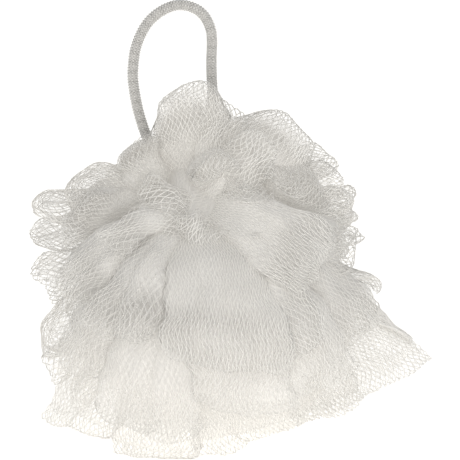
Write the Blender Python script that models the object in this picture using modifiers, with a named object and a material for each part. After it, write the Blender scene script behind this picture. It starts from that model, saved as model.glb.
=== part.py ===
"""Mesh bath pouf: a long net tube gathered at its waist into loops, with a braided hanging cord.

Metres, +Z up. The origin is on the floor under the middle of the ball, and -Y is the front.
"""

import math
from collections import namedtuple

import bmesh
import bpy
from mathutils import Vector
from mathutils.geometry import interpolate_bezier

# The ball and its gathered waist
WAIST = Vector((-0.0095, 0.0, 0.0747))
BALL_MIDDLE = Vector((0.0, 0.004, 0.049))
BALL_RADII = Vector((0.058, 0.053, 0.058))
HEART_MIDDLE = Vector((0.0, 0.002, 0.046))
HEART_RADII = Vector((0.044, 0.040, 0.050))
NECK_RADIUS = 0.0048

# The net loops, which are called petals here: each is a strip folded back on itself at its rim
PETAL_STEPS = 5
PETAL_LANES = 6
PETAL_START = 0.75
SAG = 0.0016
SAG_HEIGHT = 0.007
FACES_KEPT = 0.68
SIDE_PEAK = 1.3
ROOT_SHARE = 0.30
SPREAD_POWER = 0.6
RIM_POWER = 2.2
RIM_FULLNESS = 0.65
EDGE_POWER = 2.5

# Petals on the sides that the front view leaves bare
FILL_COUNT = 80
FILL_HALF_WIDTH = 0.016
FILL_BULGE = 0.005
FILL_THICK = 0.014
FILL_LIE = 0.004
FILL_CLEAR_ANGLE = math.radians(17)
SIDE_TUCK = 0.12
GOLDEN_ANGLE = math.pi * (3 - math.sqrt(5))

# The hanging cord and its knot
CORD_DIAMETER = 0.004
CORD_STEP = 2 * CORD_DIAMETER
CORD_SIDES_RESOLUTION = 2
KNOT_DROP = 0.0175
KNOT_RADIUS = 0.0052
KNOT_HEIGHT = 0.0085
KNOT_TURNS = 3
TAIL_LENGTH = 0.008
TAIL_SPREAD = math.radians(28)

# The twine round the waist
TWINE_DIAMETER = 0.0011
TWINE_TURNS = 5
TURNED_STEPS = 24

# Free room round each piece that sits inside the netting
CLEARANCE = 0.0003

NET_WHITE = (0.86, 0.85, 0.83, 1.0)
CORD_WHITE = (0.78, 0.77, 0.75, 1.0)

Petal = namedtuple("Petal", "middle half bulge thick arch sway")


def petal(left, right, bulge, thick, arch=0.0, sway=0.0):
    """A petal in millimetres: the ends of its rim, how far the rim bulges past them, its thickness
    and how far it bows outwards and along its rim."""
    left, right = Vector(left) / 1000, Vector(right) / 1000
    sizes = (size / 1000 for size in (bulge, thick, arch, sway))
    return Petal((left + right) / 2, (right - left) / 2, *sizes)


# Petals that show in the front view: round the outline from the top, then down the front
PETALS = [
    petal((-23, -13, 112), (-4, -10, 116), 10.5, 19, sway=-6),
    petal((-8, -4, 117), (5, -2, 105), 3.5, 13),
    petal((4, -4, 108), (31, -6, 92), 10.5, 17),
    petal((3, -20, 106), (16, -30, 94), 6, 12, arch=4),
    petal((28, 4, 100), (35, 0, 88), 4, 13),
    petal((31, -10, 94), (38, -10, 81), 3, 10),
    petal((39, -8, 85), (42, 8, 71), 2.5, 11),
    petal((38, -8, 70), (39, 4, 61), 1.5, 13),
    petal((40, 2, 59), (51, 2, 48), 4.5, 13),
    petal((48, 2, 46), (58, 2, 31), 5, 13),
    petal((69, 0, 24), (24, -24, 7), 1.5, 8),
    petal((46, -10, 14), (-11, -45, 1), 1.5, 11),
    petal((-11, -44, 1), (-41, -36, 2), 3, 14),
    petal((-39, -26, 3), (-64, -6, 7), 1.5, 10),
    petal((-50, 0, 8), (-54, 4, 15), 3, 12),
    petal((-57, -8, 19), (-62, -8, 28), 3.5, 11),
    petal((-61, -12, 30), (-60, 12, 33), 4, 17),
    petal((-59, -8, 47), (-65, -8, 62), 3, 9),
    petal((-65, 0, 63), (-65, 12, 70), 2.5, 10),
    petal((-63, -12, 80), (-62, 8, 79), 3.5, 12),
    petal((-53, -16, 86), (-48, 8, 85), 4.5, 21),
    petal((-41, 2, 88), (-27, 2, 102), 2.5, 15),
    petal((-37, -22, 92), (-8, -20, 109), 6, 18, sway=-5, arch=8),
    petal((-8, -28, 105), (8, -28, 100), 5, 13, arch=10),
    petal((13, -26, 94), (35, -22, 80), 4, 16, arch=10),
    petal((-55, -16, 68), (-43, -22, 86), 5, 17, arch=8),
    petal((-43, -36, 74), (-33, -38, 86), 4, 16, arch=10),
    petal((35, -32, 77), (22, -46, 56), 4, 13, arch=15),
    petal((-58, -24, 61), (-46, -36, 50), 4, 16, arch=10),
    petal((-49, -40, 52), (-39, -46, 42), 4, 14, arch=12),
    petal((-39, -48, 47), (-25, -52, 45), 5, 14, arch=12),
    petal((-23, -54, 40), (21, -54, 34), 5, 17, arch=14),
    petal((18, -47, 36), (34, -42, 47), 4, 14, arch=12),
    petal((34, -31, 33), (52, -14, 45), 3, 14, arch=8),
    petal((-58, -22, 35), (-44, -34, 26), 4, 15, arch=10),
    petal((-45, -36, 17), (-22, -48, 12), 4, 15, arch=12),
    petal((-28, -46, 9), (-9, -52, 13), 3, 14, arch=10),
    petal((-14, -54, 24), (22, -47, 20), 5, 16, arch=14),
    petal((18, -46, 24), (43, -34, 30), 4, 15, arch=12),
]

# The cord's route: up the left leg, over the arch, down the right leg and in to the knot
CORD_ROUTE = [
    (-0.0130, 0.000, 0.0600),
    (-0.0168, 0.000, 0.0660),
    (-0.0181, 0.000, 0.0747),
    (-0.0208, -0.001, 0.0850),
    (-0.0250, -0.001, 0.0950),
    (-0.0284, 0.000, 0.1036),
    (-0.0310, 0.000, 0.1123),
    (-0.0325, 0.000, 0.1215),
    (-0.0324, 0.000, 0.1277),
    (-0.0313, 0.000, 0.1340),
    (-0.0280, 0.001, 0.1408),
    (-0.0231, 0.001, 0.1454),
    (-0.0170, 0.002, 0.1475),
    (-0.0113, 0.002, 0.1461),
    (-0.0080, 0.003, 0.1429),
    (-0.0061, 0.003, 0.1383),
    (-0.0058, 0.004, 0.1340),
    (-0.0060, 0.004, 0.1277),
    (-0.0058, 0.005, 0.1200),
    (-0.0050, 0.005, 0.1080),
    (-0.0030, 0.004, 0.0960),
    (-0.0010, 0.002, 0.0850),
    (-0.0009, 0.000, 0.0747),
    (-0.0022, 0.000, 0.0660),
    (-0.0060, 0.000, 0.0600),
]


def clear_scene():
    for thing in list(bpy.data.objects):
        bpy.data.objects.remove(thing, do_unlink=True)


def new_collection(name):
    found = bpy.data.collections.new(name)
    bpy.context.scene.collection.children.link(found)
    return found


def new_material(name, colour, roughness):
    made = bpy.data.materials.new(name)
    made.use_nodes = True
    shader = made.node_tree.nodes["Principled BSDF"]
    shader.inputs["Base Color"].default_value = colour
    shader.inputs["Roughness"].default_value = roughness
    shader.inputs["Metallic"].default_value = 0.0
    return made


def new_object(name, mesh, collection, material=None):
    made = bpy.data.objects.new(name, mesh)
    collection.objects.link(made)
    if material:
        made.data.materials.append(material)
    return made


def hide_cutter(thing):
    thing.display_type = "WIRE"
    thing.hide_render = True


def add_boolean(target, tool, operation, own_parts=False):
    cut = target.modifiers.new(tool.name, "BOOLEAN")
    cut.operation = operation
    cut.solver = "EXACT"
    cut.use_self = own_parts
    cut.object = tool


def applied_mesh(thing, name):
    """The object's mesh with its modifiers or its bevel made real, and its loose caps welded."""
    graph = bpy.context.evaluated_depsgraph_get()
    mesh = bpy.data.meshes.new_from_object(thing.evaluated_get(graph), depsgraph=graph)
    mesh.name = name
    work = bmesh.new()
    work.from_mesh(mesh)
    bmesh.ops.remove_doubles(work, verts=work.verts, dist=1e-6)
    work.to_mesh(mesh)
    work.free()
    return mesh


# Netting: petals

def reach_from_waist(direction, middle, radii):
    """How far an ellipsoid's surface is from the waist in a direction."""
    ray = Vector([d / r for d, r in zip(direction, radii)])
    start = Vector([s / r for s, r in zip(WAIST - middle, radii)])
    a, b, c = ray.dot(ray), ray.dot(start), start.dot(start) - 1
    return (-b + math.sqrt(b * b - a * c)) / a


def fill_petals():
    """Petals on every side that the front view leaves bare, at golden-angle directions."""
    shown = [
        (p.middle + p.half * share - WAIST).normalized() for p in PETALS for share in (-0.7, 0, 0.7)
    ]
    made = []
    for i in range(FILL_COUNT):
        height = 1 - 2 * (i + 0.5) / FILL_COUNT
        ring = math.sqrt(1 - height * height)
        turn = i * GOLDEN_ANGLE
        way = Vector((ring * math.cos(turn), ring * math.sin(turn), height))
        if min(way.angle(other) for other in shown) < FILL_CLEAR_ANGLE:
            continue
        reach = reach_from_waist(way, BALL_MIDDLE, BALL_RADII) * (0.97 + 0.04 * math.sin(2.3 * i))
        reach *= 1 - SIDE_TUCK * (1 - abs(way.y)) ** 2 * (1 + min(way.z, 0))
        side = way.cross(Vector((math.cos(5.1 * i), math.sin(5.1 * i), 0.4))).normalized()
        made.append(Petal(
            WAIST + way * (reach - FILL_BULGE),
            side * FILL_HALF_WIDTH * (1 + 0.3 * math.sin(1.7 * i)),
            FILL_BULGE,
            FILL_THICK * (1 + 0.2 * math.cos(2.9 * i)),
            FILL_LIE * math.sin(3.1 * i),
            FILL_LIE * math.cos(2.2 * i),
        ))
    return made


def petal_place(shape, turn, lane):
    """A place on a petal: turn runs out to its rim at one half and back, lane from -1 to 1 across.
    Near the floor the petals sag, so that they are pressed flat there."""
    axis = shape.middle - WAIST
    along = axis.normalized()
    across = (shape.half - along * shape.half.dot(along)).normalized()
    through = along.cross(across)
    outward = math.copysign(1.0, through.dot(shape.middle - BALL_MIDDLE))
    out = (1 - math.cos(2 * math.pi * turn)) / 2
    side = SIDE_PEAK * math.sin(2 * math.pi * turn) * math.sin(math.pi * turn)
    spread = ROOT_SHARE + (1 - ROOT_SHARE) * (out * out * (3 - 2 * out)) ** SPREAD_POWER
    rim = shape.bulge * (1 - abs(lane) ** RIM_POWER) ** RIM_FULLNESS
    deep = shape.thick / 2 * side * (1 - abs(lane) ** EDGE_POWER)
    bow = 4 * out * (1 - out)
    place = (
        WAIST
        + axis * out
        + along * rim * out ** 1.5
        + shape.half * lane * spread
        + across * shape.sway * bow
        + through * (deep + outward * shape.arch * bow)
    )
    place.z -= SAG * max(0.0, 1 - place.z / SAG_HEIGHT)
    return place


def add_petal(work, shape):
    """A closed bag from inside the heart out to the petal's rim."""
    axis = shape.middle - WAIST
    start = PETAL_START * reach_from_waist(axis.normalized(), HEART_MIDDLE, HEART_RADII) / axis.length
    first = math.acos(1 - 2 * start) / (2 * math.pi)
    lanes = [2 * k / PETAL_LANES - 1 for k in range(PETAL_LANES + 1)]
    rows = []
    for step in range(PETAL_STEPS):
        turn = first + (0.5 - first) * step / PETAL_STEPS
        near = [work.verts.new(petal_place(shape, turn, lane)) for lane in lanes]
        far = [work.verts.new(petal_place(shape, 1 - turn, lane)) for lane in lanes[1:-1]]
        rows.append((near, near[:1] + far + near[-1:]))
    rim = [work.verts.new(petal_place(shape, 0.5, lane)) for lane in lanes]
    rows.append((rim, rim))
    for row, after in zip(rows, rows[1:]):
        for side, next_side in zip(row, after):
            for k in range(PETAL_LANES):
                corners = [side[k], next_side[k], next_side[k + 1], side[k + 1]]
                if 2 * k < PETAL_LANES:
                    corners = corners[1:] + corners[:1]
                work.faces.new(corners[:3])
                work.faces.new(corners[2:] + corners[:1])
    near, far = rows[0]
    work.faces.new(near + far[-2:0:-1])


def build_netting(parts, cutters, material, holes):
    petals = bmesh.new()
    for shape in PETALS + fill_petals():
        add_petal(petals, shape)
    bmesh.ops.triangulate(petals, faces=petals.faces)
    bmesh.ops.recalc_face_normals(petals, faces=petals.faces)
    mesh = bpy.data.meshes.new("petals")
    petals.to_mesh(mesh)
    petals.free()
    heap = new_object("petals", mesh, cutters)
    hide_cutter(heap)

    heart = bmesh.new()
    bmesh.ops.create_uvsphere(heart, u_segments=20, v_segments=12, radius=1.0)
    bmesh.ops.scale(heart, vec=HEART_RADII, verts=heart.verts)
    bmesh.ops.translate(heart, vec=HEART_MIDDLE, verts=heart.verts)
    mesh = bpy.data.meshes.new("heart")
    heart.to_mesh(mesh)
    heart.free()
    body = new_object("netting_blank", mesh, cutters)
    hide_cutter(body)
    add_boolean(body, heap, "UNION", own_parts=True)
    for hole in holes:
        add_boolean(body, hole, "DIFFERENCE")
    body.modifiers.new("fewer_faces", "DECIMATE").ratio = FACES_KEPT
    netting = new_object("netting", outer_shell(applied_mesh(body, "netting")), parts, material)
    netting.data.shade_smooth()
    netting.data.set_sharp_from_angle(angle=math.radians(35))


def outer_shell(mesh):
    """Keeps the largest connected shell, so pockets closed in between petals are filled."""
    work = bmesh.new()
    work.from_mesh(mesh)
    unseen = set(work.verts)
    shells = []
    while unseen:
        stack = [unseen.pop()]
        shell = []
        while stack:
            vert = stack.pop()
            shell.append(vert)
            for edge in vert.link_edges:
                other = edge.other_vert(vert)
                if other in unseen:
                    unseen.remove(other)
                    stack.append(other)
        shells.append(shell)
    shells.sort(key=len)
    for shell in shells[:-1]:
        bmesh.ops.delete(work, geom=shell, context="VERTS")
    wires = [edge for edge in work.edges if not edge.link_faces]
    bmesh.ops.delete(work, geom=wires, context="EDGES")
    bmesh.ops.triangulate(work, faces=work.faces)
    bmesh.ops.dissolve_degenerate(work, edges=work.edges, dist=2e-5)
    work.to_mesh(mesh)
    work.free()
    return mesh


# Cord, knot and twine

def smooth_route(points, step):
    """Points about one step apart along a smooth curve through the given points."""
    points = [Vector(p) for p in points]
    fine = [points[0]]
    for i in range(len(points) - 1):
        before = points[max(i - 1, 0)]
        after = points[min(i + 2, len(points) - 1)]
        start, end = points[i], points[i + 1]
        fine += interpolate_bezier(
            start, start + (end - before) / 6, end - (after - start) / 6, end, 12
        )[1:]
    lengths = [0.0]
    for a, b in zip(fine, fine[1:]):
        lengths.append(lengths[-1] + (b - a).length)
    count = max(2, round(lengths[-1] / step))
    made, at = [], 0
    for i in range(count + 1):
        goal = lengths[-1] * i / count
        while at < len(fine) - 2 and lengths[at + 1] < goal:
            at += 1
        share = (goal - lengths[at]) / (lengths[at + 1] - lengths[at])
        made.append(fine[at].lerp(fine[at + 1], share))
    return made


def tube(name, points, radius, collection):
    curve = bpy.data.curves.new(name, "CURVE")
    curve.dimensions = "3D"
    curve.bevel_depth = radius
    curve.bevel_resolution = CORD_SIDES_RESOLUTION
    curve.use_fill_caps = True
    line = curve.splines.new("POLY")
    line.points.add(len(points) - 1)
    for point, place in zip(line.points, points):
        point.co = (*place, 1.0)
    made = bpy.data.objects.new(name, curve)
    collection.objects.link(made)
    return made


def tube_mesh(name, points, radius, collection):
    """The same tube as a mesh, so that a Boolean can use it."""
    curve = tube(name + "_curve", points, radius, collection)
    made = new_object(name, applied_mesh(curve, name), collection)
    made.matrix_world = curve.matrix_world
    bpy.data.objects.remove(curve, do_unlink=True)
    return made


def turned(name, profile, collection):
    """A body of revolution about +Z from (radius, height) points that run down its outer side."""
    work = bmesh.new()
    verts = [work.verts.new((radius, 0, height)) for radius, height in profile]
    for a, b in zip(verts, verts[1:]):
        work.edges.new((a, b))
    if profile[0][0] > 0:
        work.edges.new((verts[-1], verts[0]))
    mesh = bpy.data.meshes.new(name)
    work.to_mesh(mesh)
    work.free()
    made = new_object(name, mesh, collection)
    screw = made.modifiers.new("Turn", "SCREW")
    screw.steps = TURNED_STEPS
    screw.render_steps = TURNED_STEPS
    screw.use_merge_vertices = True
    screw.merge_threshold = 1e-5
    return made


def bulged_side(radius, height, turns, bulge, points_per_turn=4):
    """The outer side of cord turns laid one under another, from the top down."""
    side = []
    for turn in range(turns):
        for k in range(points_per_turn):
            share = k / points_per_turn
            side.append(
                (
                    radius - bulge + bulge * math.sin(math.pi * share),
                    height / 2 - height * (turn + share) / turns,
                )
            )
    side.append((radius - bulge, -height / 2))
    return side


def waist_tie_profile(grow):
    """Section of the twine's turns, grown by the room they need."""
    inner = NECK_RADIUS + CLEARANCE
    outer = inner + TWINE_DIAMETER
    height = TWINE_DIAMETER * TWINE_TURNS
    if grow:
        return [
            (outer + CLEARANCE, height / 2 + CLEARANCE),
            (outer + CLEARANCE, -height / 2 - CLEARANCE),
            (NECK_RADIUS, -height / 2 - CLEARANCE),
            (NECK_RADIUS, height / 2 + CLEARANCE),
        ]
    side = bulged_side(outer, height, TWINE_TURNS, TWINE_DIAMETER / 3, 3)
    return side + [(inner, -height / 2), (inner, height / 2)]


def build_waist_tie(parts, material):
    tie = turned("waist_tie", waist_tie_profile(False), parts)
    tie.data.materials.append(material)
    tie.location = WAIST
    tie.rotation_euler = (math.radians(90), 0, 0)
    return tie


def waist_room(cutters):
    room = turned("waist_room", waist_tie_profile(True), cutters)
    room.location = WAIST
    room.rotation_euler = (math.radians(90), 0, 0)
    hide_cutter(room)
    return room


def knot_place():
    return WAIST - Vector((0, 0, KNOT_DROP + KNOT_HEIGHT / 2))


def knot_tails(radius, length, name, collection):
    """The cord's two cut ends under the knot."""
    tails = []
    for sign in (-1, 1):
        aim = Vector((0, sign * math.sin(TAIL_SPREAD), -math.cos(TAIL_SPREAD)))
        start = knot_place()
        end = start + aim * (KNOT_HEIGHT / 2 + length)
        tails.append(tube_mesh(f"{name}_{sign + 2}", [start, end], radius, collection))
    return tails


def build_cord_knot(parts, cutters, material):
    side = bulged_side(KNOT_RADIUS, KNOT_HEIGHT, KNOT_TURNS, CORD_DIAMETER / 5)
    profile = [(0.0, KNOT_HEIGHT / 2)] + side + [(0.0, -KNOT_HEIGHT / 2)]
    knot = turned("cord_knot", profile, parts)
    knot.data.materials.append(material)
    knot.location = knot_place()
    bpy.context.view_layer.update()
    for tail in knot_tails(CORD_DIAMETER / 2, TAIL_LENGTH, "tail", cutters):
        hide_cutter(tail)
        add_boolean(knot, tail, "UNION")


def knot_room(cutters):
    """The hollow that the knot and its tails lie in, open to the waist above it."""
    radius = KNOT_RADIUS + CLEARANCE
    top = KNOT_DROP + KNOT_HEIGHT / 2 - NECK_RADIUS - CLEARANCE
    bottom = -KNOT_HEIGHT / 2 - CLEARANCE
    profile = [(0.0, top), (radius, top), (radius, bottom), (0.0, bottom)]
    room = turned("knot_room", profile, cutters)
    room.location = knot_place()
    hide_cutter(room)
    rooms = [room]
    grown = CORD_DIAMETER / 2 + CLEARANCE
    for tail in knot_tails(grown, TAIL_LENGTH + CLEARANCE, "tail_room", cutters):
        hide_cutter(tail)
        rooms.append(tail)
    return rooms


def build_cord(parts, cutters, material):
    """The hanging cord, and the channel that it runs in between the petals."""
    points = smooth_route(CORD_ROUTE, CORD_STEP)
    cord = tube("hanging_loop", points, CORD_DIAMETER / 2, parts)
    cord.data.materials.append(material)
    overshoot = [points[0] + (points[0] - points[1]).normalized() * CLEARANCE]
    overshoot += points[1:-1]
    overshoot.append(points[-1] + (points[-1] - points[-2]).normalized() * CLEARANCE)
    channel = tube_mesh("cord_channel", overshoot, CORD_DIAMETER / 2 + CLEARANCE, cutters)
    hide_cutter(channel)
    return channel


def floor_cutter(cutters):
    """Everything under the floor is pressed flat."""
    depth = BALL_RADII.z
    work = bmesh.new()
    bmesh.ops.create_cube(work, size=1.0)
    bmesh.ops.scale(work, vec=(4 * BALL_RADII.x, 4 * BALL_RADII.y, depth), verts=work.verts)
    bmesh.ops.translate(work, vec=(0, 0, -depth / 2), verts=work.verts)
    mesh = bpy.data.meshes.new("floor_press")
    work.to_mesh(mesh)
    work.free()
    press = new_object("floor_press", mesh, cutters)
    hide_cutter(press)
    return press


def main():
    clear_scene()
    parts = new_collection("mesh_bath_pouf")
    cutters = new_collection("cutters")
    net = new_material("white_netting", NET_WHITE, 0.45)
    braid = new_material("white_braid", CORD_WHITE, 0.75)

    channel = build_cord(parts, cutters, braid)
    build_cord_knot(parts, cutters, braid)
    build_waist_tie(parts, braid)
    holes = [floor_cutter(cutters), channel, waist_room(cutters)] + knot_room(cutters)
    bpy.context.view_layer.update()
    build_netting(parts, cutters, net, holes)


main()
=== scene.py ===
import math
from collections import namedtuple

import bmesh
import bpy
import numpy as np
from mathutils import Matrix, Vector


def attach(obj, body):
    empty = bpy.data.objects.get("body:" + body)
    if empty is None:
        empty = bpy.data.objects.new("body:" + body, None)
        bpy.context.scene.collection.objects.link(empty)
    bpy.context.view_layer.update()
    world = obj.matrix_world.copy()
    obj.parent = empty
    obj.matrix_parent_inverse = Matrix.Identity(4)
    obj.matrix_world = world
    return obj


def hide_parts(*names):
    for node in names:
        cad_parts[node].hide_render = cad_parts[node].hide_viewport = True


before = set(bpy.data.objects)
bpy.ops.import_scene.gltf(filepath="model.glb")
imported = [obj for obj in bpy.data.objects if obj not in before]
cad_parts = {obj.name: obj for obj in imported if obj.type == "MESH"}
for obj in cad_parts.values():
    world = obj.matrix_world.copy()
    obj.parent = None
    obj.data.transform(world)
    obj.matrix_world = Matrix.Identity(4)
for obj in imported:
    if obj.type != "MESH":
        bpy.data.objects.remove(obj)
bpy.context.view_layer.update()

scene = bpy.context.scene
waist = np.array((-0.0095, 0.0, 0.0747))  # the gathered middle, where every loop starts


# Sockets that take sums, for shader and geometry trees alike
class Wire:
    def __init__(self, tree, socket=None):
        self.tree = tree
        self.socket = socket

    def feed(self, target, value):
        if isinstance(value, Wire):
            self.tree.links.new(value.socket, target)
        elif value is not None:
            target.default_value = value

    def add(self, kind, sockets=None, out=0, **settings):
        node = self.tree.nodes.new(kind)
        for name, value in settings.items():
            setattr(node, name, value)
        for key, value in (sockets or {}).items():
            self.feed(node.inputs[key], value)
        return Wire(self.tree, node.outputs[out]) if node.outputs else node

    def math(self, operation, *values):
        return self.add("ShaderNodeMath", dict(enumerate(values)), operation=operation)

    def __add__(self, other):
        return self.math("ADD", self, other)

    def __radd__(self, other):
        return self.math("ADD", other, self)

    def __sub__(self, other):
        return self.math("SUBTRACT", self, other)

    def __rsub__(self, other):
        return self.math("SUBTRACT", other, self)

    def __mul__(self, other):
        return self.math("MULTIPLY", self, other)

    def __rmul__(self, other):
        return self.math("MULTIPLY", other, self)

    def __truediv__(self, other):
        return self.math("DIVIDE", self, other)

    def __rtruediv__(self, other):
        return self.math("DIVIDE", other, self)

    def __pow__(self, other):
        return self.math("POWER", self, other)


# Camera
view = {
    "elevation": 12.0,                # degrees above the table
    "distance": 2.5,                  # from the middle of the frame, m
    "middle": (0.0003, 0.0, 0.0701),  # what the middle of the frame looks at
    "frameWidth": 0.1564,             # how much the frame takes in there, m
}

rise = math.radians(view["elevation"])
cameraBack = Vector((0, -math.cos(rise), math.sin(rise)))
cameraPlace = Vector(view["middle"]) + cameraBack * view["distance"]


def makeCamera():
    data = bpy.data.cameras.new("camera")
    data.sensor_width = 36.0
    data.lens = data.sensor_width * view["distance"] / view["frameWidth"]
    data.clip_start = 0.01
    camera = bpy.data.objects.new("camera", data)
    camera.location = cameraPlace
    camera.rotation_mode = "QUATERNION"
    camera.rotation_quaternion = (-cameraBack).to_track_quat("-Z", "Y")
    scene.collection.objects.link(camera)
    scene.camera = camera


# Materials
def newMaterial(name):
    material = bpy.data.materials.new(name)
    material.use_nodes = True
    tree = material.node_tree
    return material, Wire(tree), tree.nodes["Principled BSDF"]


netFinish = {
    "shade": (0.64, 0.635, 0.62, 1.0),
    "light": (0.70, 0.695, 0.68, 1.0),
    "patch": 60.0,             # patches of slightly different white per metre
    "roughness": 0.42,
    "uneven": 0.2,             # how far the roughness varies
    # painted glow: the net itself gives off warm light, in place of light through the layers and off the table,
    # lifting the shade among them
    "paintedGlowTint": (1.0, 0.96, 0.89),
    "paintedGlowAtRim": 0.145,        # painted glow at the rim, in place of the light that comes through from the layers behind
    "paintedGlowAtWaist": 0.22,
    "paintedGlowBelow": 0.07,         # more painted glow near the table, in place of the light off it
    "belowFrom": (0.004, 0.055),  # heights between which that fades out, m
}


def netMaterial():
    material, w, shader = newMaterial("white_polyethylene_net")
    place = w.add("ShaderNodeTexCoord", out=3)
    cloud = w.add("ShaderNodeTexNoise", {"Vector": place, "Scale": netFinish["patch"], "Detail": 3.0})
    colour = w.add(
        "ShaderNodeMix",
        {0: cloud, 6: netFinish["shade"], 7: netFinish["light"]},
        out=2, data_type="RGBA",
    )
    w.feed(shader.inputs["Base Color"], colour)
    w.feed(shader.inputs["Roughness"], netFinish["roughness"] + (cloud - 0.5) * netFinish["uneven"])
    # painted glow: the strands glow more towards the waist and near the table, lifting the shade deep among the
    # loops
    chart = w.add("ShaderNodeAttribute", out=1, attribute_name="chart")
    share = w.add("ShaderNodeSeparateXYZ", {0: chart}, out=1)
    rim = w.math("PINGPONG", share, 0.5)  # 0 at the waist, 0.5 at the rim
    paintedGlow = w.add("ShaderNodeMapRange",
                 {0: rim, 1: 0.12, 2: 0.5, 3: netFinish["paintedGlowAtWaist"], 4: netFinish["paintedGlowAtRim"]})
    height = w.add("ShaderNodeSeparateXYZ", {0: place}, out=2)
    low, high = netFinish["belowFrom"]
    paintedGlow += w.add("ShaderNodeMapRange", {0: height, 1: low, 2: high, 3: netFinish["paintedGlowBelow"], 4: 0.0},
                  interpolation_type="SMOOTHSTEP")
    paintedGlowTint = w.add("ShaderNodeVectorMath", {0: netFinish["paintedGlowTint"], "Scale": paintedGlow}, operation="SCALE")
    w.feed(shader.inputs["Emission Color"], paintedGlowTint)
    shader.inputs["Emission Strength"].default_value = 1.0
    shader.inputs["IOR"].default_value = 1.5
    return material


coreFinish = {
    # gap: the net's gaps painted darker than its strands, a painted shade of the layers deep inside
    "gap": (0.50, 0.495, 0.485, 1.0),
    "strand": (0.60, 0.595, 0.58, 1.0),
    "cell": (1.95, 3.4),          # mm, across and along a loop
    "stray": 0.22,                # how far the pattern wanders, mm
    "strayPatch": 160.0,
    "roughness": 0.6,
    "netAtRim": 0.5,              # how far the pattern's strands cover where the layers thin out
    "relief": 0.0003,
    "paintedGlowTint": (1.0, 0.955, 0.885),
    "paintedGlowBelow": 0.385,           # painted glow by height in the ball, in place of light through the layers and off the table
    "paintedGlowMiddle": 0.115,
    "paintedGlowAbove": 0.19,
    "belowFrom": (0.012, 0.058),  # heights over which the lower painted glow turns into the middle one, m
    "aboveFrom": (0.07, 0.1),
}


def netPattern(w, x, y, size):
    # 1 on the strands of a diamond net, 0 in its gaps
    total = None
    for sign in (1.0, -1.0):
        line = x / (coreFinish["cell"][0] * size) + y * sign / (coreFinish["cell"][1] * size)
        line = w.math("PINGPONG", line, 0.5)
        line = w.add("ShaderNodeMapRange", {0: line, 1: 0.02, 2: 0.2, 3: 1.0, 4: 0.0},
                     interpolation_type="SMOOTHSTEP")
        total = line if total is None else w.math("MAXIMUM", total, line)
    return total


def coreMaterial():
    material, w, shader = newMaterial("packed_white_net")
    weave = w.add("ShaderNodeAttribute", out=1, attribute_name="weave")
    place = w.add("ShaderNodeTexCoord", out=3)
    cloud = w.add("ShaderNodeTexNoise", {"Vector": place, "Scale": coreFinish["strayPatch"], "Detail": 2.0},
                  out=1)
    stray = w.add("ShaderNodeVectorMath", {0: cloud, 1: (0.5, 0.5, 0.5)}, operation="SUBTRACT")
    stray = w.add("ShaderNodeVectorMath", {0: stray, "Scale": coreFinish["stray"] * 2}, operation="SCALE")
    weave = w.add("ShaderNodeVectorMath", {0: weave, 1: stray}, operation="ADD")
    x = w.add("ShaderNodeSeparateXYZ", {0: weave}, out=0)
    y = w.add("ShaderNodeSeparateXYZ", {0: weave}, out=1)
    # two layers of net, the one behind turned a little and slightly smaller
    strands = netPattern(w, x, y, 1.0) * 0.6 + netPattern(w, x + 0.7, y + x * 0.12, 0.93) * 0.4
    # the drawn net's strands over its gaps, the gaps painted darker as shade deep among the layers
    colour = w.add(
        "ShaderNodeMix",
        {0: strands, 6: coreFinish["gap"], 7: coreFinish["strand"]},
        out=2, data_type="RGBA",
    )
    bump = w.add("ShaderNodeBump", {"Height": strands, "Strength": 0.6, "Distance": coreFinish["relief"]})
    w.feed(shader.inputs["Base Color"], colour)
    w.feed(shader.inputs["Normal"], bump)
    clear = 1.0 - w.add("ShaderNodeAttribute", out=2, attribute_name="fade")
    w.feed(shader.inputs["Alpha"], 1.0 - clear * (1.0 - strands * coreFinish["netAtRim"]))
    # painted glow by height: brightest near the table, least in the middle, more again at the top, lifting the
    # shade inside the ball
    height = w.add("ShaderNodeSeparateXYZ", {0: place}, out=2)
    low, high = coreFinish["belowFrom"]
    paintedGlow = w.add("ShaderNodeMapRange", {0: height, 1: low, 2: high, 3: coreFinish["paintedGlowBelow"],
                                        4: coreFinish["paintedGlowMiddle"]}, interpolation_type="SMOOTHSTEP")
    low, high = coreFinish["aboveFrom"]
    paintedGlow += w.add("ShaderNodeMapRange", {0: height, 1: low, 2: high, 3: 0.0,
                                         4: coreFinish["paintedGlowAbove"] - coreFinish["paintedGlowMiddle"]})
    paintedGlowTint = w.add("ShaderNodeVectorMath", {0: coreFinish["paintedGlowTint"], "Scale": paintedGlow}, operation="SCALE")
    w.feed(shader.inputs["Emission Color"], paintedGlowTint)
    shader.inputs["Emission Strength"].default_value = 1.0
    shader.inputs["Roughness"].default_value = coreFinish["roughness"]
    return material


cordFinish = {
    # painted shade: the braid's grooves darker than its yarns
    "paintedGrooveShade": (0.22, 0.215, 0.205, 1.0),
    "yarn": (0.76, 0.755, 0.74, 1.0),
    "fibres": 9000.0,
    "fibreShare": 0.15,     # how far the fibres show in the colour
    "fibreRelief": 0.0002,
    "fuzz": 1.0,
    "roughness": 0.8,
}


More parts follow.
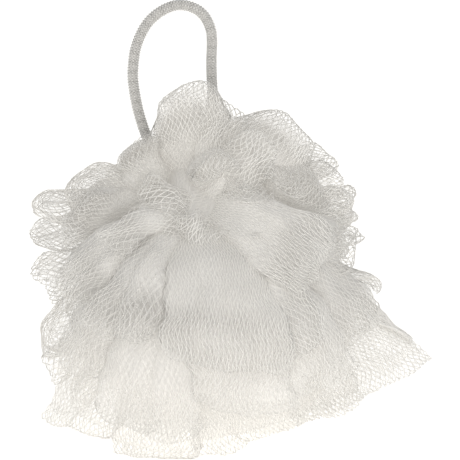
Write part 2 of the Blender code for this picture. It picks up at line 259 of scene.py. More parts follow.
def cordMaterial():
    material, w, shader = newMaterial("white_braided_cord")
    place = w.add("ShaderNodeTexCoord", out=3)
    height = w.add("ShaderNodeAttribute", out=2, attribute_name="relief")
    fibre = w.add("ShaderNodeTexNoise", {"Vector": place, "Scale": cordFinish["fibres"], "Detail": 2.0})
    # painted shade in the grooves, by the yarns' relief, mixed with the fibres' own unevenness
    grooveShadeAndFibres = height * (1 - cordFinish["fibreShare"]) + fibre * cordFinish["fibreShare"]
    colour = w.add(
        "ShaderNodeMix",
        {0: grooveShadeAndFibres, 6: cordFinish["paintedGrooveShade"], 7: cordFinish["yarn"]},
        out=2, data_type="RGBA",
    )
    bump = w.add("ShaderNodeBump", {"Height": fibre, "Strength": 0.3, "Distance": cordFinish["fibreRelief"]})
    w.feed(shader.inputs["Base Color"], colour)
    w.feed(shader.inputs["Normal"], bump)
    shader.inputs["Roughness"].default_value = cordFinish["roughness"]
    shader.inputs["Sheen Weight"].default_value = cordFinish["fuzz"]
    return material


# Geometry trees
def newTree(name, inputs):
    tree = bpy.data.node_groups.new(name, "GeometryNodeTree")
    tree.interface.new_socket("Geometry", in_out="INPUT", socket_type="NodeSocketGeometry")
    tree.interface.new_socket("Geometry", in_out="OUTPUT", socket_type="NodeSocketGeometry")
    for label, kind in inputs.items():
        tree.interface.new_socket(label, in_out="INPUT", socket_type=kind)
    w = Wire(tree)
    group = tree.nodes.new("NodeGroupInput")
    given = {item.name: Wire(tree, item) for item in group.outputs if item.name}
    return tree, w, given


def endTree(w, geometry, material):
    solid = w.add("GeometryNodeRealizeInstances", {"Geometry": geometry})
    worn = w.add("GeometryNodeSetMaterial", {"Geometry": solid, "Material": material})
    end = w.tree.nodes.new("NodeGroupOutput")
    w.tree.links.new(worn.socket, end.inputs["Geometry"])


def runTree(source, tree, values, name):
    # runs the tree on the source object and keeps the result as a plain mesh
    modifier = source.modifiers.new("tree", "NODES")
    modifier.node_group = tree
    for item in tree.interface.items_tree:
        if item.in_out == "INPUT" and item.name in values:
            modifier[item.identifier] = values[item.name]
    graph = bpy.context.evaluated_depsgraph_get()
    mesh = bpy.data.meshes.new_from_object(source.evaluated_get(graph), depsgraph=graph)
    mesh.name = name
    bpy.data.objects.remove(source, do_unlink=True)
    made = bpy.data.objects.new(name, mesh)
    scene.collection.objects.link(made)
    return made


def lineObject(name, points, edges, attributes=None, radius=None):
    mesh = bpy.data.meshes.new(name)
    mesh.vertices.add(len(points))
    mesh.vertices.foreach_set("co", np.asarray(points, np.float32).ravel())
    mesh.edges.add(len(edges))
    mesh.edges.foreach_set("vertices", np.asarray(edges, np.int32).ravel())
    for key, values in (attributes or {}).items():
        layer = mesh.attributes.new(key, "FLOAT_VECTOR", "POINT")
        layer.data.foreach_set("vector", np.asarray(values, np.float32).ravel())
    if radius is not None:  # a share of the strand's radius
        layer = mesh.attributes.new("radius", "FLOAT", "POINT")
        layer.data.foreach_set("value", np.asarray(radius, np.float32))
    mesh.update()
    made = bpy.data.objects.new(name, mesh)
    scene.collection.objects.link(made)
    return made


# Hanging cord
cord = {
    "diameter": 0.004,
    "carriers": 8,        # yarns that wind each way
    "lead": 0.0076,       # length in which a yarn winds once round, m
    "relief": 0.00065,    # how far a yarn stands out of its grooves, m
    "ribs": 0.55,         # how far the ribs across the cord show in the braid
    "around": 40,         # faces round the cord
    "step": 0.00018,      # length of a face, m
    "shownAbove": 0.084,  # below this height the net hides the cord
    "hiddenEvery": 4,     # and its faces are this many times as long
    "lowest": 0.055,      # the whole cord lies above this height
    "pathStep": 0.002,
    "bands": 8,           # columns of the cord's chart
}

cordRoute = [  # up the left leg, over the arch, down the right leg and in to the knot
    (-0.0130, 0.000, 0.0600),
    (-0.0168, 0.000, 0.0660),
    (-0.0181, 0.000, 0.0747),
    (-0.0208, -0.001, 0.0850),
    (-0.0250, -0.001, 0.0950),
    (-0.0284, 0.000, 0.1036),
    (-0.0310, 0.000, 0.1123),
    (-0.0325, 0.000, 0.1215),
    (-0.0324, 0.000, 0.1277),
    (-0.0313, 0.000, 0.1340),
    (-0.0280, 0.001, 0.1408),
    (-0.0231, 0.001, 0.1454),
    (-0.0170, 0.002, 0.1475),
    (-0.0113, 0.002, 0.1461),
    (-0.0080, 0.003, 0.1429),
    (-0.0061, 0.003, 0.1383),
    (-0.0058, 0.004, 0.1340),
    (-0.0060, 0.004, 0.1277),
    (-0.0058, 0.005, 0.1200),
    (-0.0050, 0.005, 0.1080),
    (-0.0030, 0.004, 0.0960),
    (-0.0010, 0.002, 0.0850),
    (-0.0009, 0.000, 0.0747),
    (-0.0022, 0.000, 0.0660),
    (-0.0060, 0.000, 0.0600),
]


def smoothLine(route, step):
    # even points along a smooth curve through the route
    route = np.array(route)
    ends = np.vstack((2 * route[0] - route[1], route, 2 * route[-1] - route[-2]))
    fine = []
    t = np.linspace(0, 1, 40, endpoint=False)[:, None]
    for p0, p1, p2, p3 in zip(ends, ends[1:], ends[2:], ends[3:]):
        fine.append(
            0.5 * (2 * p1 + (p2 - p0) * t + (2 * p0 - 5 * p1 + 4 * p2 - p3) * t ** 2
                   + (3 * p1 - p0 - 3 * p2 + p3) * t ** 3)
        )
    fine = np.vstack(fine + [route[-1:]])
    run = np.concatenate(([0.0], np.cumsum(np.linalg.norm(np.diff(fine, axis=0), axis=1))))
    even = np.linspace(0, run[-1], max(2, round(run[-1] / step)) + 1)
    return np.column_stack([np.interp(even, run, fine[:, k]) for k in range(3)]), run[-1]


cordLine, cordLength = smoothLine(cordRoute, cord["step"])
cordPath = np.vstack((cordLine[:-1:round(cord["pathStep"] / cord["step"])], cordLine[-1:]))
kept = (cordLine[:, 2] > cord["shownAbove"]) | (np.arange(len(cordLine)) % cord["hiddenEvery"] == 0)
kept[-1] = True
cordLine = cordLine[kept]


def braidTree():
    tree, w, given = newTree("braid", {
        "Radius": "NodeSocketFloat", "Relief": "NodeSocketFloat", "Lead": "NodeSocketFloat",
        "Carriers": "NodeSocketFloat", "Ribs": "NodeSocketFloat", "Around": "NodeSocketInt",
        "Material": "NodeSocketMaterial",
    })
    line = w.add("GeometryNodeMeshToCurve", {"Mesh": given["Geometry"]})
    length = w.add("GeometryNodeSplineParameter", out=1)
    line = w.add("GeometryNodeStoreNamedAttribute",
                 {"Geometry": line, "Name": "run", "Value": length}, data_type="FLOAT", domain="POINT")
    ring = w.add("GeometryNodeCurvePrimitiveCircle", {"Resolution": given["Around"], "Radius": given["Radius"]})
    turn = w.add("GeometryNodeSplineParameter", out=0)
    ring = w.add("GeometryNodeStoreNamedAttribute",
                 {"Geometry": ring, "Name": "turn", "Value": turn}, data_type="FLOAT", domain="POINT")
    skin = w.add("GeometryNodeCurveToMesh", {"Curve": line, "Profile Curve": ring, "Fill Caps": True})
    run = w.add("GeometryNodeInputNamedAttribute", {"Name": "run"}, data_type="FLOAT")
    around = w.add("GeometryNodeInputNamedAttribute", {"Name": "turn"}, data_type="FLOAT")
    # two sets of yarns wind against each other and take turns on top
    wind = run / given["Lead"]
    right = given["Carriers"] * (around + wind)
    left = given["Carriers"] * (around - wind) + 1000.0
    rightPart = w.math("FRACT", right)
    leftPart = w.math("FRACT", left)
    over = w.math("MODULO", w.math("FLOOR", right) + w.math("FLOOR", left), 2.0)
    rightHump = w.math("SINE", rightPart * math.pi) ** 0.6
    leftHump = w.math("SINE", leftPart * math.pi) ** 0.6
    rightHeight = rightHump * (0.45 + 0.55 * leftHump)
    leftHeight = leftHump * (0.45 + 0.55 * rightHump)
    height = over * rightHeight + (1 - over) * leftHeight
    rib = w.math("ABSOLUTE", w.math("SINE", wind * given["Carriers"] * math.pi)) ** 0.8
    height = height * (1.0 - given["Ribs"] + given["Ribs"] * rib)
    skin = w.add("GeometryNodeStoreNamedAttribute",
                 {"Geometry": skin, "Name": "relief", "Value": height}, data_type="FLOAT", domain="POINT")
    normal = w.add("GeometryNodeInputNormal")
    lift = w.add("ShaderNodeVectorMath", {0: normal, "Scale": (height - 1.0) * given["Relief"]},
                 operation="SCALE")
    skin = w.add("GeometryNodeSetPosition", {"Geometry": skin, "Offset": lift})
    skin = w.add("GeometryNodeSetShadeSmooth", {"Geometry": skin})
    endTree(w, skin, given["Material"])
    return tree


def chartTube(mesh, length, bands):
    # the tube's own chart: its run cut into columns side by side, and a small disc for each end
    run, turn = np.empty(len(mesh.vertices)), np.empty(len(mesh.vertices))
    mesh.attributes["run"].data.foreach_get("value", run)
    mesh.attributes["turn"].data.foreach_get("value", turn)
    chart = mesh.uv_layers.new(name="OFBake")
    for face in mesh.polygons:
        corners = np.array(face.vertices)
        along, around = run[corners] / length * bands, turn[corners]
        column = min(int(along.mean()), bands - 1)
        if len(corners) == 4:
            around = np.where((around.max() - around > 0.5), around + 1, around)
            x, y = 0.04 + 0.92 * around, 0.03 + 0.9 * (along - column)
        else:
            x, y = 0.5 + 0.1 * np.cos(2 * math.pi * around), 0.965 + 0.02 * np.sin(2 * math.pi * around)
        for corner, u, v in zip(face.loop_indices, x, y):
            chart.data[corner].uv = ((column + u) / bands, v)


def makeCord(material):
    edges = np.column_stack((np.arange(len(cordLine) - 1), np.arange(1, len(cordLine))))
    source = lineObject("cord_line", cordLine, edges)
    piece = runTree(source, braidTree(), {
        "Radius": cord["diameter"] / 2, "Relief": cord["relief"], "Lead": cord["lead"],
        "Carriers": float(cord["carriers"]), "Ribs": cord["ribs"], "Around": cord["around"],
        "Material": material,
    }, "braided_cord")
    chartTube(piece.data, cordLength, cord["bands"])
    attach(piece, "root")
    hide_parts("hanging_loop")
    print("cord", round(cordLength * 1000, 1), "mm,", len(piece.data.polygons), "faces")
    return piece


# Netting
net = {
    "cellLength": 0.0034,
    "cellWidth": 0.00195,
    "strandRadius": 0.00015,
    "strandSides": 3,
    "slack": 1.12,            # net across a loop as a share of the loop's width
    "wander": 0.17,           # how far the cells stray from an even grid, in cells
    "rootShare": 0.30,        # width at the waist as a share of the full width
    "belly": 1.3,             # how far a loop's two sides swell apart
    "pleat": 0.0013,          # gathers near the waist, m
    "shake": 0.0010,          # unevenness to the side, m
    "rimWave": 0.0004,        # unevenness of the rim, m
    "drift": 0.0006,          # unevenness in space, m
    "driftTurns": 330,        # radians of it for each metre
    "bandWidth": 0.0015,      # half a strand's width in the chart
    "loopsPerPiece": 12,
    "sag": 0.0016,            # how far the loops on the table sink
    "sagHeight": 0.007,       # below this height, m
    "floorSoftness": 0.0015,  # how gently they turn flat on it, m
    "cordRoom": 0.0009,       # gap between the cord and the net
}

Loop = namedtuple("Loop", (
    "middle", "half",   # middle of the rim, and from there to its right end
    "bulge", "thick",   # how far the rim bulges past its ends, and the loop's thickness
    "crown",            # how far the thickness closes towards the sides
    "arch", "sway",     # bow out of its own plane and in it, halfway along
    "cup",              # how far the sides lift at the rim
    "ruffle", "waves",  # height and number of the waves across
    "core", "soft",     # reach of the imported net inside, and the share over which it thins out
    "stretch",          # cells longer and narrower
    "fine",             # thickness of its strands as a share
    "cut",              # share of the strip that is left out at the waist
    "seed", "coarse",
))

plainShape = {  # in millimetres, where a loop says nothing else
    "crown": 0.85, "arch": 0.0, "sway": 0.0, "cup": 0.0, "ruffle": 1.0, "waves": 1.8,
    "core": 0.965, "soft": 0.5, "stretch": 1.0, "fine": 1.0, "cut": 0.26,
}
draped = {"core": 0.975, "soft": 0.12, "crown": 0.97, "fine": 0.75, "cut": 0.06}  # lies over packed net
topped = {"waves": 1.0, "cut": 0.06}  # the large loops at the top


def loop(left, right, bulge, thick, **shape):
    # a loop in millimetres: the two ends of its rim, how far it bulges past them and its thickness
    seed = 2000 + round(left[0] * 7 + left[1] * 3 + left[2] * 11)
    left, right = np.array(left) / 1000, np.array(right) / 1000
    values = {**plainShape, **shape}
    for name in ("arch", "sway", "ruffle"):
        values[name] /= 1000
    return Loop(middle=(left + right) / 2, half=(right - left) / 2, bulge=bulge / 1000, thick=thick / 1000,
                seed=seed, coarse=1.0, **values)


rimLoops = [  # round the outline, clockwise from the top
    loop((-25, -18, 107), (0, -16, 113), 15.5, 18, core=0.94, soft=0.35, sway=-1, ruffle=0.5, arch=8, **topped),
    loop((-7, -12, 119), (6, -12, 104), 5, 14, core=0.95, soft=0.35, ruffle=0.5, arch=6, **topped),
    loop((2, -6, 111), (28, -6, 92), 11, 17, soft=0.15, ruffle=0.6, arch=5, **topped),
    loop((4, -18, 109), (16, -24, 93), 6, 12, core=0.93, soft=0.25, arch=6, **topped),
    loop((28, 4, 100), (35, 0, 88), 4, 13, core=0.94, soft=0.4, waves=1.2),
    loop((31, -10, 96), (38, -10, 83), 4, 10, core=0.93, waves=1.2),
    loop((39, -8, 85), (42, 8, 71), 2.5, 11, waves=1.0),
    loop((38, -8, 70), (39, 4, 61), 1.5, 13, waves=1.0),
    loop((40, 2, 59), (51, 2, 48), 4.5, 13, waves=1.2),
    loop((48, 2, 46), (60, 2, 30), 5.5, 13, waves=1.2),
    loop((69, 0, 24), (24, -24, 7), 1.5, 8, waves=1.6, ruffle=0.8, core=0.95, soft=0.6),
    loop((46, -10, 14), (-11, -45, 1), 1.5, 11, waves=2.2, ruffle=1.0, core=0.96, soft=0.3),
    loop((-11, -44, 1), (-41, -36, 2), 3, 14, waves=1.4, core=0.95, soft=0.3),
    loop((-39, -26, 3), (-64, -6, 7), 1.5, 10, waves=1.4, core=0.95),
    loop((-50, 0, 8), (-54, 4, 15), 3, 12, waves=1.0),
    loop((-57, -8, 19), (-62, -8, 28), 3.5, 11, waves=1.0),
    loop((-61, -12, 30), (-60, 12, 33), 4, 17, waves=1.2),
    loop((-59, -8, 47), (-65, -8, 62), 3, 9, waves=1.2),
    loop((-65, 0, 63), (-65, 12, 70), 2.5, 10, waves=1.0),
    loop((-63, -12, 80), (-62, 8, 79), 3.5, 12, waves=1.0),
    loop((-53, -16, 85), (-47, 8, 84), 4.5, 20, waves=1.0),
    loop((-41, 2, 88), (-27, 2, 102), 2.5, 15, core=0.97, soft=0.15, waves=1.0, ruffle=0.5),
]

frontLoops = [  # over the front, top to bottom
    loop((-38, -16, 94), (-25, -16, 105), 3, 16, sway=-3, waves=1.0, arch=6, **draped),
    loop((-13, -29, 94), (3, -29, 97), 8, 11, waves=1.0, arch=6, ruffle=0.5, **draped),
    loop((13, -26, 94), (35, -22, 80), 4, 16, waves=1.4, arch=10, **draped),
    loop((-55, -16, 68), (-43, -22, 86), 5, 17, waves=1.2, arch=8, **draped),
    loop((-43, -37, 79), (-35, -41, 70), 4, 8, waves=0.8, arch=8, ruffle=0.4, **{**draped, "crown": 0.35}),
    loop((35, -32, 77), (22, -46, 56), 4, 13, waves=1.6, arch=15, stretch=1.5, **draped),
    loop((-58, -24, 61), (-46, -36, 50), 4, 16, waves=1.4, arch=10, **draped),
    loop((-49, -40, 52), (-39, -46, 42), 4, 14, waves=1.0, arch=12, **{**draped, "crown": 0.5}),
    loop((-39, -48, 47), (-25, -52, 45), 5, 14, waves=1.0, arch=12, **draped),
    loop((-23, -54, 40), (21, -54, 34), 5, 17, waves=2.0, arch=14, stretch=1.4, **draped),
    loop((18, -47, 36), (34, -42, 47), 4, 14, waves=1.0, arch=12, **{**draped, "crown": 0.45}),
    loop((34, -31, 33), (52, -14, 45), 3, 14, waves=1.4, arch=8, **draped),
    loop((-58, -22, 35), (-44, -34, 26), 4, 15, waves=1.2, arch=10, **draped),
    loop((-45, -36, 17), (-22, -48, 12), 4, 15, waves=1.4, arch=12, **draped),
    loop((-28, -46, 9), (-9, -52, 13), 3, 14, waves=1.0, arch=10, **{**draped, "crown": 0.35}),
    loop((-14, -54, 24), (22, -47, 20), 5, 16, waves=2.0, arch=14, **draped),
    loop((18, -46, 24), (43, -34, 30), 4, 15, waves=1.6, arch=12, **draped),
]

fill = {
    "count": 80,          # directions, of which those with a loop already are left out
    "half": 0.016,
    "bulge": 0.005,
    "thick": 0.014,
    "coarse": 1.1,        # cells larger than in the other loops
    "clearAngle": 17.0,   # degrees from the nearest other loop
    "clearBare": 8.0,     # on the right and low at the back, where those loops are thin
    "tuck": 0.12,         # the sides are drawn in
    "dent": 0.14,         # and the right side is flatter still
    "endReach": 1.03,     # how far a rim's ends may lie from the middle, in radii of the ball
    "ballMiddle": (0.0, 0.004, 0.049),
    "ballRadii": (0.058, 0.053, 0.058),
}
fillShape = {  # in metres
    "crown": 0.85, "ruffle": 0.0016, "waves": 1.6, "core": 0.82, "soft": 0.4, "stretch": 1.0,
    "fine": 1.0, "cut": 0.30,
}


def unit(v):  # the same direction, 1 long
    return v / np.linalg.norm(v)


def fillLoops():
    # loops on the sides that the front view leaves bare, at golden-angle directions
    shown = np.array([unit(place - waist) for l in rimLoops + frontLoops
                      for place in (l.middle - l.half * 0.7, l.middle, l.middle + l.half * 0.7)])
    middle, radii = np.array(fill["ballMiddle"]), np.array(fill["ballRadii"])
    made = []
    for i in range(fill["count"]):
        height = 1 - 2 * (i + 0.5) / fill["count"]
        ring = math.sqrt(1 - height * height)
        turn = i * math.pi * (3 - math.sqrt(5))
        way = np.array((ring * math.cos(turn), ring * math.sin(turn), height))
        bare = way[0] > 0.5 and way[2] > -0.3 or way[1] > -0.2 and way[2] < -0.2
        clear = fill["clearBare"] if bare else fill["clearAngle"]
        if np.max(shown @ way) > math.cos(math.radians(clear)):
            continue
        # from the waist to the surface of the ball
        p, q = (waist - middle) / radii, way / radii
        a, b, c = q @ q, 2 * p @ q, p @ p - 1
        reach = (-b + math.sqrt(b * b - 4 * a * c)) / (2 * a) * (0.97 + 0.04 * math.sin(2.3 * i))
        drawnIn = fill["tuck"] * (1 - abs(way[1])) ** 2 + fill["dent"] * max(way[0], 0) ** 2
        reach *= 1 - drawnIn * (1 + min(way[2], 0))
        side = unit(np.cross(way, (math.cos(5.1 * i), math.sin(5.1 * i), 0.4)))
        place = waist + way * (reach - fill["bulge"])
        half = side * fill["half"] * (1 + 0.3 * math.sin(1.7 * i))
        while max(np.linalg.norm((place + end - middle) / radii) for end in (half, -half)) > fill["endReach"]:
            half = half * 0.9
        made.append(Loop(
            middle=place, half=half, bulge=fill["bulge"], thick=fill["thick"] * (1 + 0.2 * math.cos(2.9 * i)),
            arch=0.004 * math.sin(3.1 * i), sway=0.004 * math.cos(2.2 * i), cup=0.3 * math.sin(4.3 * i),
            seed=1000 + i, coarse=fill["coarse"], **fillShape))
    return made


foldSteps = np.linspace(0, 1, 241)


def foldCurve(turn):
    # how far out and how far to the side a folded strip is, from the waist to its rim and back
    out = (1 - np.cos(2 * math.pi * turn)) / 2
    return out, net["belly"] * np.sin(2 * math.pi * turn) * np.sin(math.pi * turn)


def loopSurface(l, share, u, flat=1.0, reach=1.0):
    # places on a loop: share runs along its strip, u goes from -1 to 1 across it
    axis = l.middle - waist
    length = np.linalg.norm(axis) + l.bulge
    along = axis / np.linalg.norm(axis)
    across = unit(l.half - along * (l.half @ along))
    through = np.cross(along, across)
    out, side = foldCurve(foldSteps)
    run = np.concatenate(([0.0], np.cumsum(np.hypot(np.diff(out) * length, np.diff(side) * l.thick / 2))))
    turn = np.interp(share * run[-1], run, foldSteps)
    out, side = foldCurve(turn)
    out = out * reach
    phase = np.random.default_rng(l.seed).uniform(0, 2 * math.pi, 10)
    spread = net["rootShare"] + (1 - net["rootShare"]) * (out * out * (3 - 2 * out)) ** 0.6
    outward = math.copysign(1.0, through @ (l.middle - np.array(fill["ballMiddle"])))
    edge = np.abs(u)
    rim = l.bulge * (1 - edge ** 2.2) ** 0.65 + net["rimWave"] * np.sin(3.2 * u * l.waves + phase[6])
    deep = l.thick / 2 * side * (1 - (1 if flat < 1 else l.crown) * edge ** 2.5) * flat
    wave = l.ruffle * out ** 1.4 * np.sin(l.waves * math.pi * u + phase[0] + 0.9 * np.sin(2.5 * out + phase[1]))
    wave += 0.35 * l.ruffle * out ** 1.2 * np.sin(2.7 * l.waves * math.pi * u + phase[2] + 2 * out)
    pleat = net["pleat"] * (1 - out) * out ** 0.3 * np.cos(8.5 * u * l.waves / 2 + phase[3])
    bow = 4 * out * (1 - out)
    cup = l.cup * u * u * out ** 1.5 * np.linalg.norm(l.half)
    shake = net["shake"] * out * np.sin(14 * out + phase[4] + 2.5 * u)
    points = (
        waist + out[:, None] * axis + (out ** 1.5 * rim)[:, None] * along
        + (u * spread)[:, None] * l.half + (l.sway * bow + shake)[:, None] * across
        + (deep + wave + pleat + outward * l.arch * bow + cup)[:, None] * through
    )
    return settle(points + drift(points) * np.minimum(out, 1)[:, None])


def drift(points):
    # slow unevenness in space, the same for every loop that passes a place
    x, y, z = (points * net["driftTurns"]).T
    moved = np.column_stack((
        np.sin(y + 1.3 * np.sin(0.7 * z)) + np.sin(1.9 * z + 0.6),
        np.sin(z + 1.1 * np.sin(0.8 * x) + 2.0) + np.sin(2.1 * x + 1.2),
        np.sin(x + 1.2 * np.sin(0.9 * y) + 4.0) + np.sin(1.8 * y + 2.9),
    ))
    return moved * net["drift"]


def settle(points):
    # clear of the cord, and pressed flat on the table
    room = cord["diameter"] / 2 + net["cordRoom"]
    close = np.flatnonzero(points[:, 2] > cord["lowest"])
    gap = points[close][:, None, :] - cordPath[None, :, :]
    away = np.linalg.norm(gap, axis=2)
    nearest = away.argmin(axis=1)
    rows = np.arange(len(close))
    distance = away[rows, nearest]
    short = distance < room
    push = gap[rows, nearest] / np.maximum(distance, 1e-5)[:, None]
    points[close[short]] = cordPath[nearest[short]] + push[short] * room
    points[:, 2] -= net["sag"] * np.maximum(0, 1 - points[:, 2] / net["sagHeight"])
    soft = net["floorSoftness"]
    low = points[:, 2] / soft
    points[:, 2] = np.where(low > 8, points[:, 2], soft * np.log1p(np.exp(np.clip(low, -30, 8))))
    points[:, 2] += net["strandRadius"]
    return points


def looseNoise(rng, i, j):
    # slow waves over the grid of a net, between about -1.5 and 1.5
    total = np.zeros(i.shape)
    for _ in range(3):
        a, b, c = rng.uniform(0.3, 1.4), rng.uniform(0.3, 1.4), rng.uniform(0, 2 * math.pi)
        total += np.sin(a * i + b * j + c) / 2
    return total


def loopStrands(l):
    # zigzag strands that meet their neighbours at every turn, as points and edges
    strip, width = loopSize(l)
    count = max(8, round(width / (net["cellWidth"] * l.coarse / l.stretch / 2)))
    turns = max(8, round(strip / (net["cellLength"] * l.coarse * l.stretch ** 0.7 / 2)))
    rng = np.random.default_rng(l.seed + 5)
    i, j = np.meshgrid(np.arange(turns + 1), np.arange(count), indexing="ij")
    step = (1 - l.cut) / turns
    zig = np.where((i + j) % 2 == 0, 1.0, -1.0) * 0.97 / count
    u = -1 + (2 * j + 1) / count + zig + looseNoise(rng, i, j) * net["wander"] * 2 / count
    share = l.cut / 2 + step * i + looseNoise(rng, i, j) * net["wander"] * 2 * step
    u, share = np.clip(u, -1, 1).ravel(), share.ravel()
    index = np.arange(len(u)).reshape(turns + 1, count)
    edges = np.column_stack((index[:-1].ravel(), index[1:].ravel()))
    chart = np.column_stack(((u + 1) / 2, (share - l.cut / 2) / (1 - l.cut)))
    return loopSurface(l, share, u), edges, chart, np.full(len(u), l.fine)


def loopSize(l):
    # flat length and width of the net in a loop
    strip = 2 * (np.linalg.norm(l.middle - waist) + l.bulge) * (1 - l.cut)
    return strip, 2 * np.linalg.norm(l.half) * net["slack"]


def strandTree():
    tree, w, given = newTree("net strands", {
        "Strand Radius": "NodeSocketFloat", "Sides": "NodeSocketInt", "Material": "NodeSocketMaterial",
    })
    lines = w.add("GeometryNodeMeshToCurve", {"Mesh": given["Geometry"]})
    ring = w.add("GeometryNodeCurvePrimitiveCircle",
                 {"Resolution": given["Sides"], "Radius": given["Strand Radius"]})
    order = w.add("GeometryNodeInputIndex")
    ring = w.add("GeometryNodeStoreNamedAttribute",
                 {"Geometry": ring, "Name": "corner", "Value": order}, data_type="FLOAT", domain="POINT")
    tubes = w.add("GeometryNodeCurveToMesh", {
        "Curve": lines, "Profile Curve": ring, "Fill Caps": True,
        "Scale": w.add("GeometryNodeInputNamedAttribute", {"Name": "radius"}, data_type="FLOAT"),
    })
    tubes = w.add("GeometryNodeSetShadeSmooth", {"Geometry": tubes})
    endTree(w, tubes, given["Material"])
    return tree


def dressNet(piece, group, share):
    # attaches the piece and hides the imported netting; the loops' flat strip, with half of it seen, is worked
    # out but not kept
    strip = sum(loopSize(l)[0] for l in group) * share
    width = sum(np.prod(loopSize(l)) for l in group) * share / strip
    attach(piece, "root")
    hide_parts("netting")
    round(float(width * strip) * 0.5, 5)


def chartStrands(mesh, count):
    # the strands' own chart: a cell for each loop, in which each strand is drawn as a narrow band
    place, corner = np.empty(3 * len(mesh.vertices)), np.empty(len(mesh.vertices))
    mesh.attributes["chart"].data.foreach_get("vector", place)
    mesh.attributes["corner"].data.foreach_get("value", corner)
    place = place.reshape(-1, 3)
    cells = math.ceil(math.sqrt(count))
    x = (place[:, 2] % cells + 0.02 + 0.96 * place[:, 0]) / cells + (corner - 1) * net["bandWidth"]
    y = (place[:, 2] // cells + 0.02 + 0.96 * place[:, 1]) / cells + (corner == 1) * 0.3 * net["bandWidth"]
    spots = np.empty(len(mesh.loops), dtype=np.int32)
    mesh.loops.foreach_get("vertex_index", spots)
    mesh.uv_layers.new(name="OFBake").data.foreach_set("uv", np.column_stack((x, y))[spots].ravel())


def makeNet(loops, material):
    tree = strandTree()
    total = 0
    for first in range(0, len(loops), net["loopsPerPiece"]):
        group = loops[first:first + net["loopsPerPiece"]]
        points, edges, charts, widths, start = [], [], [], [], 0
        for number, l in enumerate(group):
            p, e, c, r = loopStrands(l)
            widths.append(r)
            points.append(p)
            edges.append(e + start)
            charts.append(np.column_stack((c, np.full(len(c), number))))
            start += len(p)
        source = lineObject("net_lines", np.vstack(points), np.vstack(edges), {"chart": np.vstack(charts)},
                            np.concatenate(widths))
        piece = runTree(source, tree, {
            "Strand Radius": net["strandRadius"], "Sides": net["strandSides"], "Material": material,
        }, f"net_loops_{first // net['loopsPerPiece'] + 1}")
        chartStrands(piece.data, len(group))
        dressNet(piece, group, 1.0)
        triangles = sum(len(f.vertices) - 2 for f in piece.data.polygons)
        total += triangles
        print(piece.name, len(group), "loops,", triangles, "triangles")
    print("strands in all", total)


# Packed net inside the loops
core = {
    "along": 44,         # faces along a shell's strip
    "across": 18,
    "flat": 0.965,       # thickness as a share of the loop's
    "netShare": 0.8,     # net in the shells as a share of the net in the loops
    "merge": 0.00004,
    "heartMiddle": (-0.0015, 0.002, 0.046),
    "heartRadii": (0.0425, 0.040, 0.050),
    "heartRows": 40,
    "heartTurns": 90,
    "heartPleats": 11,
    "heartPleat": 0.05,  # depth of a pleat as a share of the radius
    "heartNet": 34,      # mm of net for each radian
}


def addShell(bm, points, weave, fade, rows, chart):
    # a grid of faces over rows of points, with its place in the chart
    layers = bm.verts.layers.float_vector["weave"], bm.verts.layers.float["fade"], bm.loops.layers.uv["OFBake"]
    made = []
    for point, place, shown in zip(points, weave, fade):
        vert = bm.verts.new(point)
        vert[layers[0]] = place
        vert[layers[1]] = shown
        made.append(vert)
    index = np.arange(len(points)).reshape(rows, -1)
    quads = np.stack((index[:-1, :-1], index[1:, :-1], index[1:, 1:], index[:-1, 1:]), -1).reshape(-1, 4)
    for quad in quads:
        face = bm.faces.new([made[k] for k in quad])
        face.smooth = True
        for k, spot in zip(quad, face.loops):
            spot[layers[2]].uv = chart[k]


def gridShares(rows, columns):
    i, j = np.meshgrid(np.linspace(0, 1, rows + 1), np.linspace(0, 1, columns + 1), indexing="ij")
    return i.ravel(), j.ravel()


def makeCore(loops, material):
    # closed shells just under the loops, which stand for the many layers of net packed inside
    bm = bmesh.new()
    bm.verts.layers.float_vector.new("weave")
    bm.verts.layers.float.new("fade")
    bm.loops.layers.uv.new("OFBake")
    cells = math.ceil(math.sqrt(len(loops) + 1))
    share, column = gridShares(core["along"], core["across"])
    u = 2 * column - 1
    out = foldCurve(share)[0]
    flat = np.column_stack((column, share)) * 0.96 + 0.02
    for number, l in enumerate(loops):
        points = loopSurface(l, share, u, flat=core["flat"], reach=l.core)
        length = 1000 * np.linalg.norm(l.middle - waist) * l.core
        width = 1000 * np.linalg.norm(l.half)
        solid = np.clip((1 - out) / l.soft, 0, 1)
        solid = solid * solid * (3 - 2 * solid)
        spread = net["rootShare"] + (1 - net["rootShare"]) * out
        weave = np.column_stack((u * width * spread, out * length, 0 * out))
        chart = ((number % cells, number // cells) + flat) / cells
        addShell(bm, points, weave, solid, core["along"] + 1, chart)

    # the pleated heart that closes the gaps between the loops
    lean, around = gridShares(core["heartRows"], core["heartTurns"])
    flat = np.column_stack((around, lean)) * 0.96 + 0.02
    lean, around = lean * math.pi, around * 2 * math.pi
    ring = np.sin(lean)
    pleat = 1 + core["heartPleat"] * ring * np.sin(core["heartPleats"] * around + 2 * np.sin(3 * around))
    way = np.column_stack((ring * np.cos(around), -np.cos(lean), ring * np.sin(around)))
    points = settle(np.array(core["heartMiddle"]) + way * np.array(core["heartRadii"]) * pleat[:, None])
    weave = np.column_stack((core["heartNet"] * ring * around, core["heartNet"] * lean, 0 * lean))
    number = len(loops)
    chart = ((number % cells, number // cells) + flat) / cells
    addShell(bm, points, weave, 0 * lean + 1, core["heartRows"] + 1, chart)
    bmesh.ops.remove_doubles(bm, verts=bm.verts, dist=core["merge"])
    bmesh.ops.recalc_face_normals(bm, faces=bm.faces)
    mesh = bpy.data.meshes.new("packed_net")
    bm.to_mesh(mesh)
    bm.free()
    piece = bpy.data.objects.new("packed_net", mesh)
    scene.collection.objects.link(piece)
    mesh.materials.append(material)
    dressNet(piece, loops, core["netShare"])
    print("packed net", len(mesh.polygons), "faces")


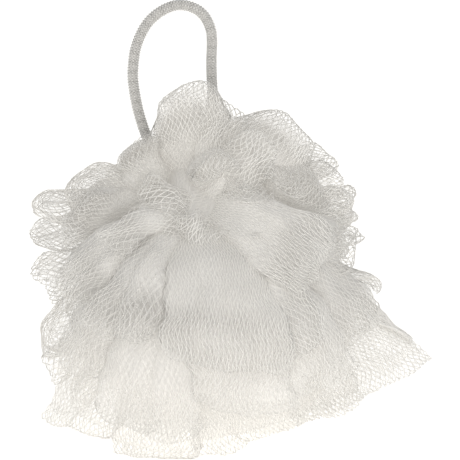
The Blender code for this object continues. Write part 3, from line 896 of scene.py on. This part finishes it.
# Table, backdrop and light
stage = {
    "size": 3.0,
    "overhead": (0.66, 0.66, 0.66, 1.0),
    "around": (0.78, 0.775, 0.76, 1.0),
    "tableColour": (0.9, 0.89, 0.87, 1.0),
    "tableLight": (1.0, 0.985, 0.955, 1.0),
    "tableGlow": 0.5,
    "frontSize": 0.7,
    "frontPower": 5.0,
    "frontColour": (1.0, 0.96, 0.90),
    "frontPlace": (0.05, -0.9, 0.02),
    "frontAim": (0, 0, 0.05),
}


def makeStage():
    mesh = bpy.data.meshes.new("table")
    half = stage["size"] / 2
    corners = [(-half, -half, 0), (half, -half, 0), (half, half, 0), (-half, half, 0)]
    mesh.from_pydata(corners, [], [(0, 1, 2, 3)])
    table = bpy.data.objects.new("table", mesh)
    scene.collection.objects.link(table)
    material, _, shader = newMaterial("lit_table")
    shader.inputs["Base Color"].default_value = stage["tableColour"]
    shader.inputs["Roughness"].default_value = 0.7
    shader.inputs["Emission Color"].default_value = stage["tableLight"]
    shader.inputs["Emission Strength"].default_value = stage["tableGlow"]
    mesh.materials.append(material)

    lamp = bpy.data.lights.new("low_front_light", "AREA")
    lamp.shape = "DISK"
    lamp.size = stage["frontSize"]
    lamp.energy = stage["frontPower"]
    lamp.color = stage["frontColour"]
    held = bpy.data.objects.new("low_front_light", lamp)
    held.location = Vector(stage["frontPlace"])
    held.rotation_mode = "QUATERNION"
    held.rotation_quaternion = (Vector(stage["frontAim"]) - held.location).to_track_quat("-Z", "Y")
    scene.collection.objects.link(held)

    world = bpy.data.worlds.new("soft_light")
    world.use_nodes = True
    scene.world = world
    tree = world.node_tree
    tree.nodes.clear()
    w = Wire(tree)
    direction = w.add("ShaderNodeTexCoord", out=0)
    height = w.add("ShaderNodeSeparateXYZ", {0: direction}, out=2)
    sky = w.add("ShaderNodeMix", {0: w.math("MAXIMUM", height, 0.0) ** 0.7, 6: stage["around"],
                                  7: stage["overhead"]}, out=2, data_type="RGBA")
    seen = w.add("ShaderNodeLightPath", out=0)  # the backdrop itself is white
    colour = w.add("ShaderNodeMix", {0: seen, 6: sky, 7: (1.0, 1.0, 1.0, 1.0)}, out=2, data_type="RGBA")
    light = w.add("ShaderNodeBackground", {"Color": colour, "Strength": 1.0})
    end = tree.nodes.new("ShaderNodeOutputWorld")
    tree.links.new(light.socket, end.inputs["Surface"])
    scene.view_settings.view_transform = "Standard"


makeCamera()
makeStage()
cordWhite = cordMaterial()
makeCord(cordWhite)
for nodeName in ("cord_knot", "waist_tie"):  # hidden in the net
    for held in bpy.data.objects[nodeName].material_slots:
        held.material = cordWhite
allLoops = rimLoops + frontLoops + fillLoops()
print("loops", len(allLoops))
makeNet(allLoops, netMaterial())
makeCore(allLoops, coreMaterial())
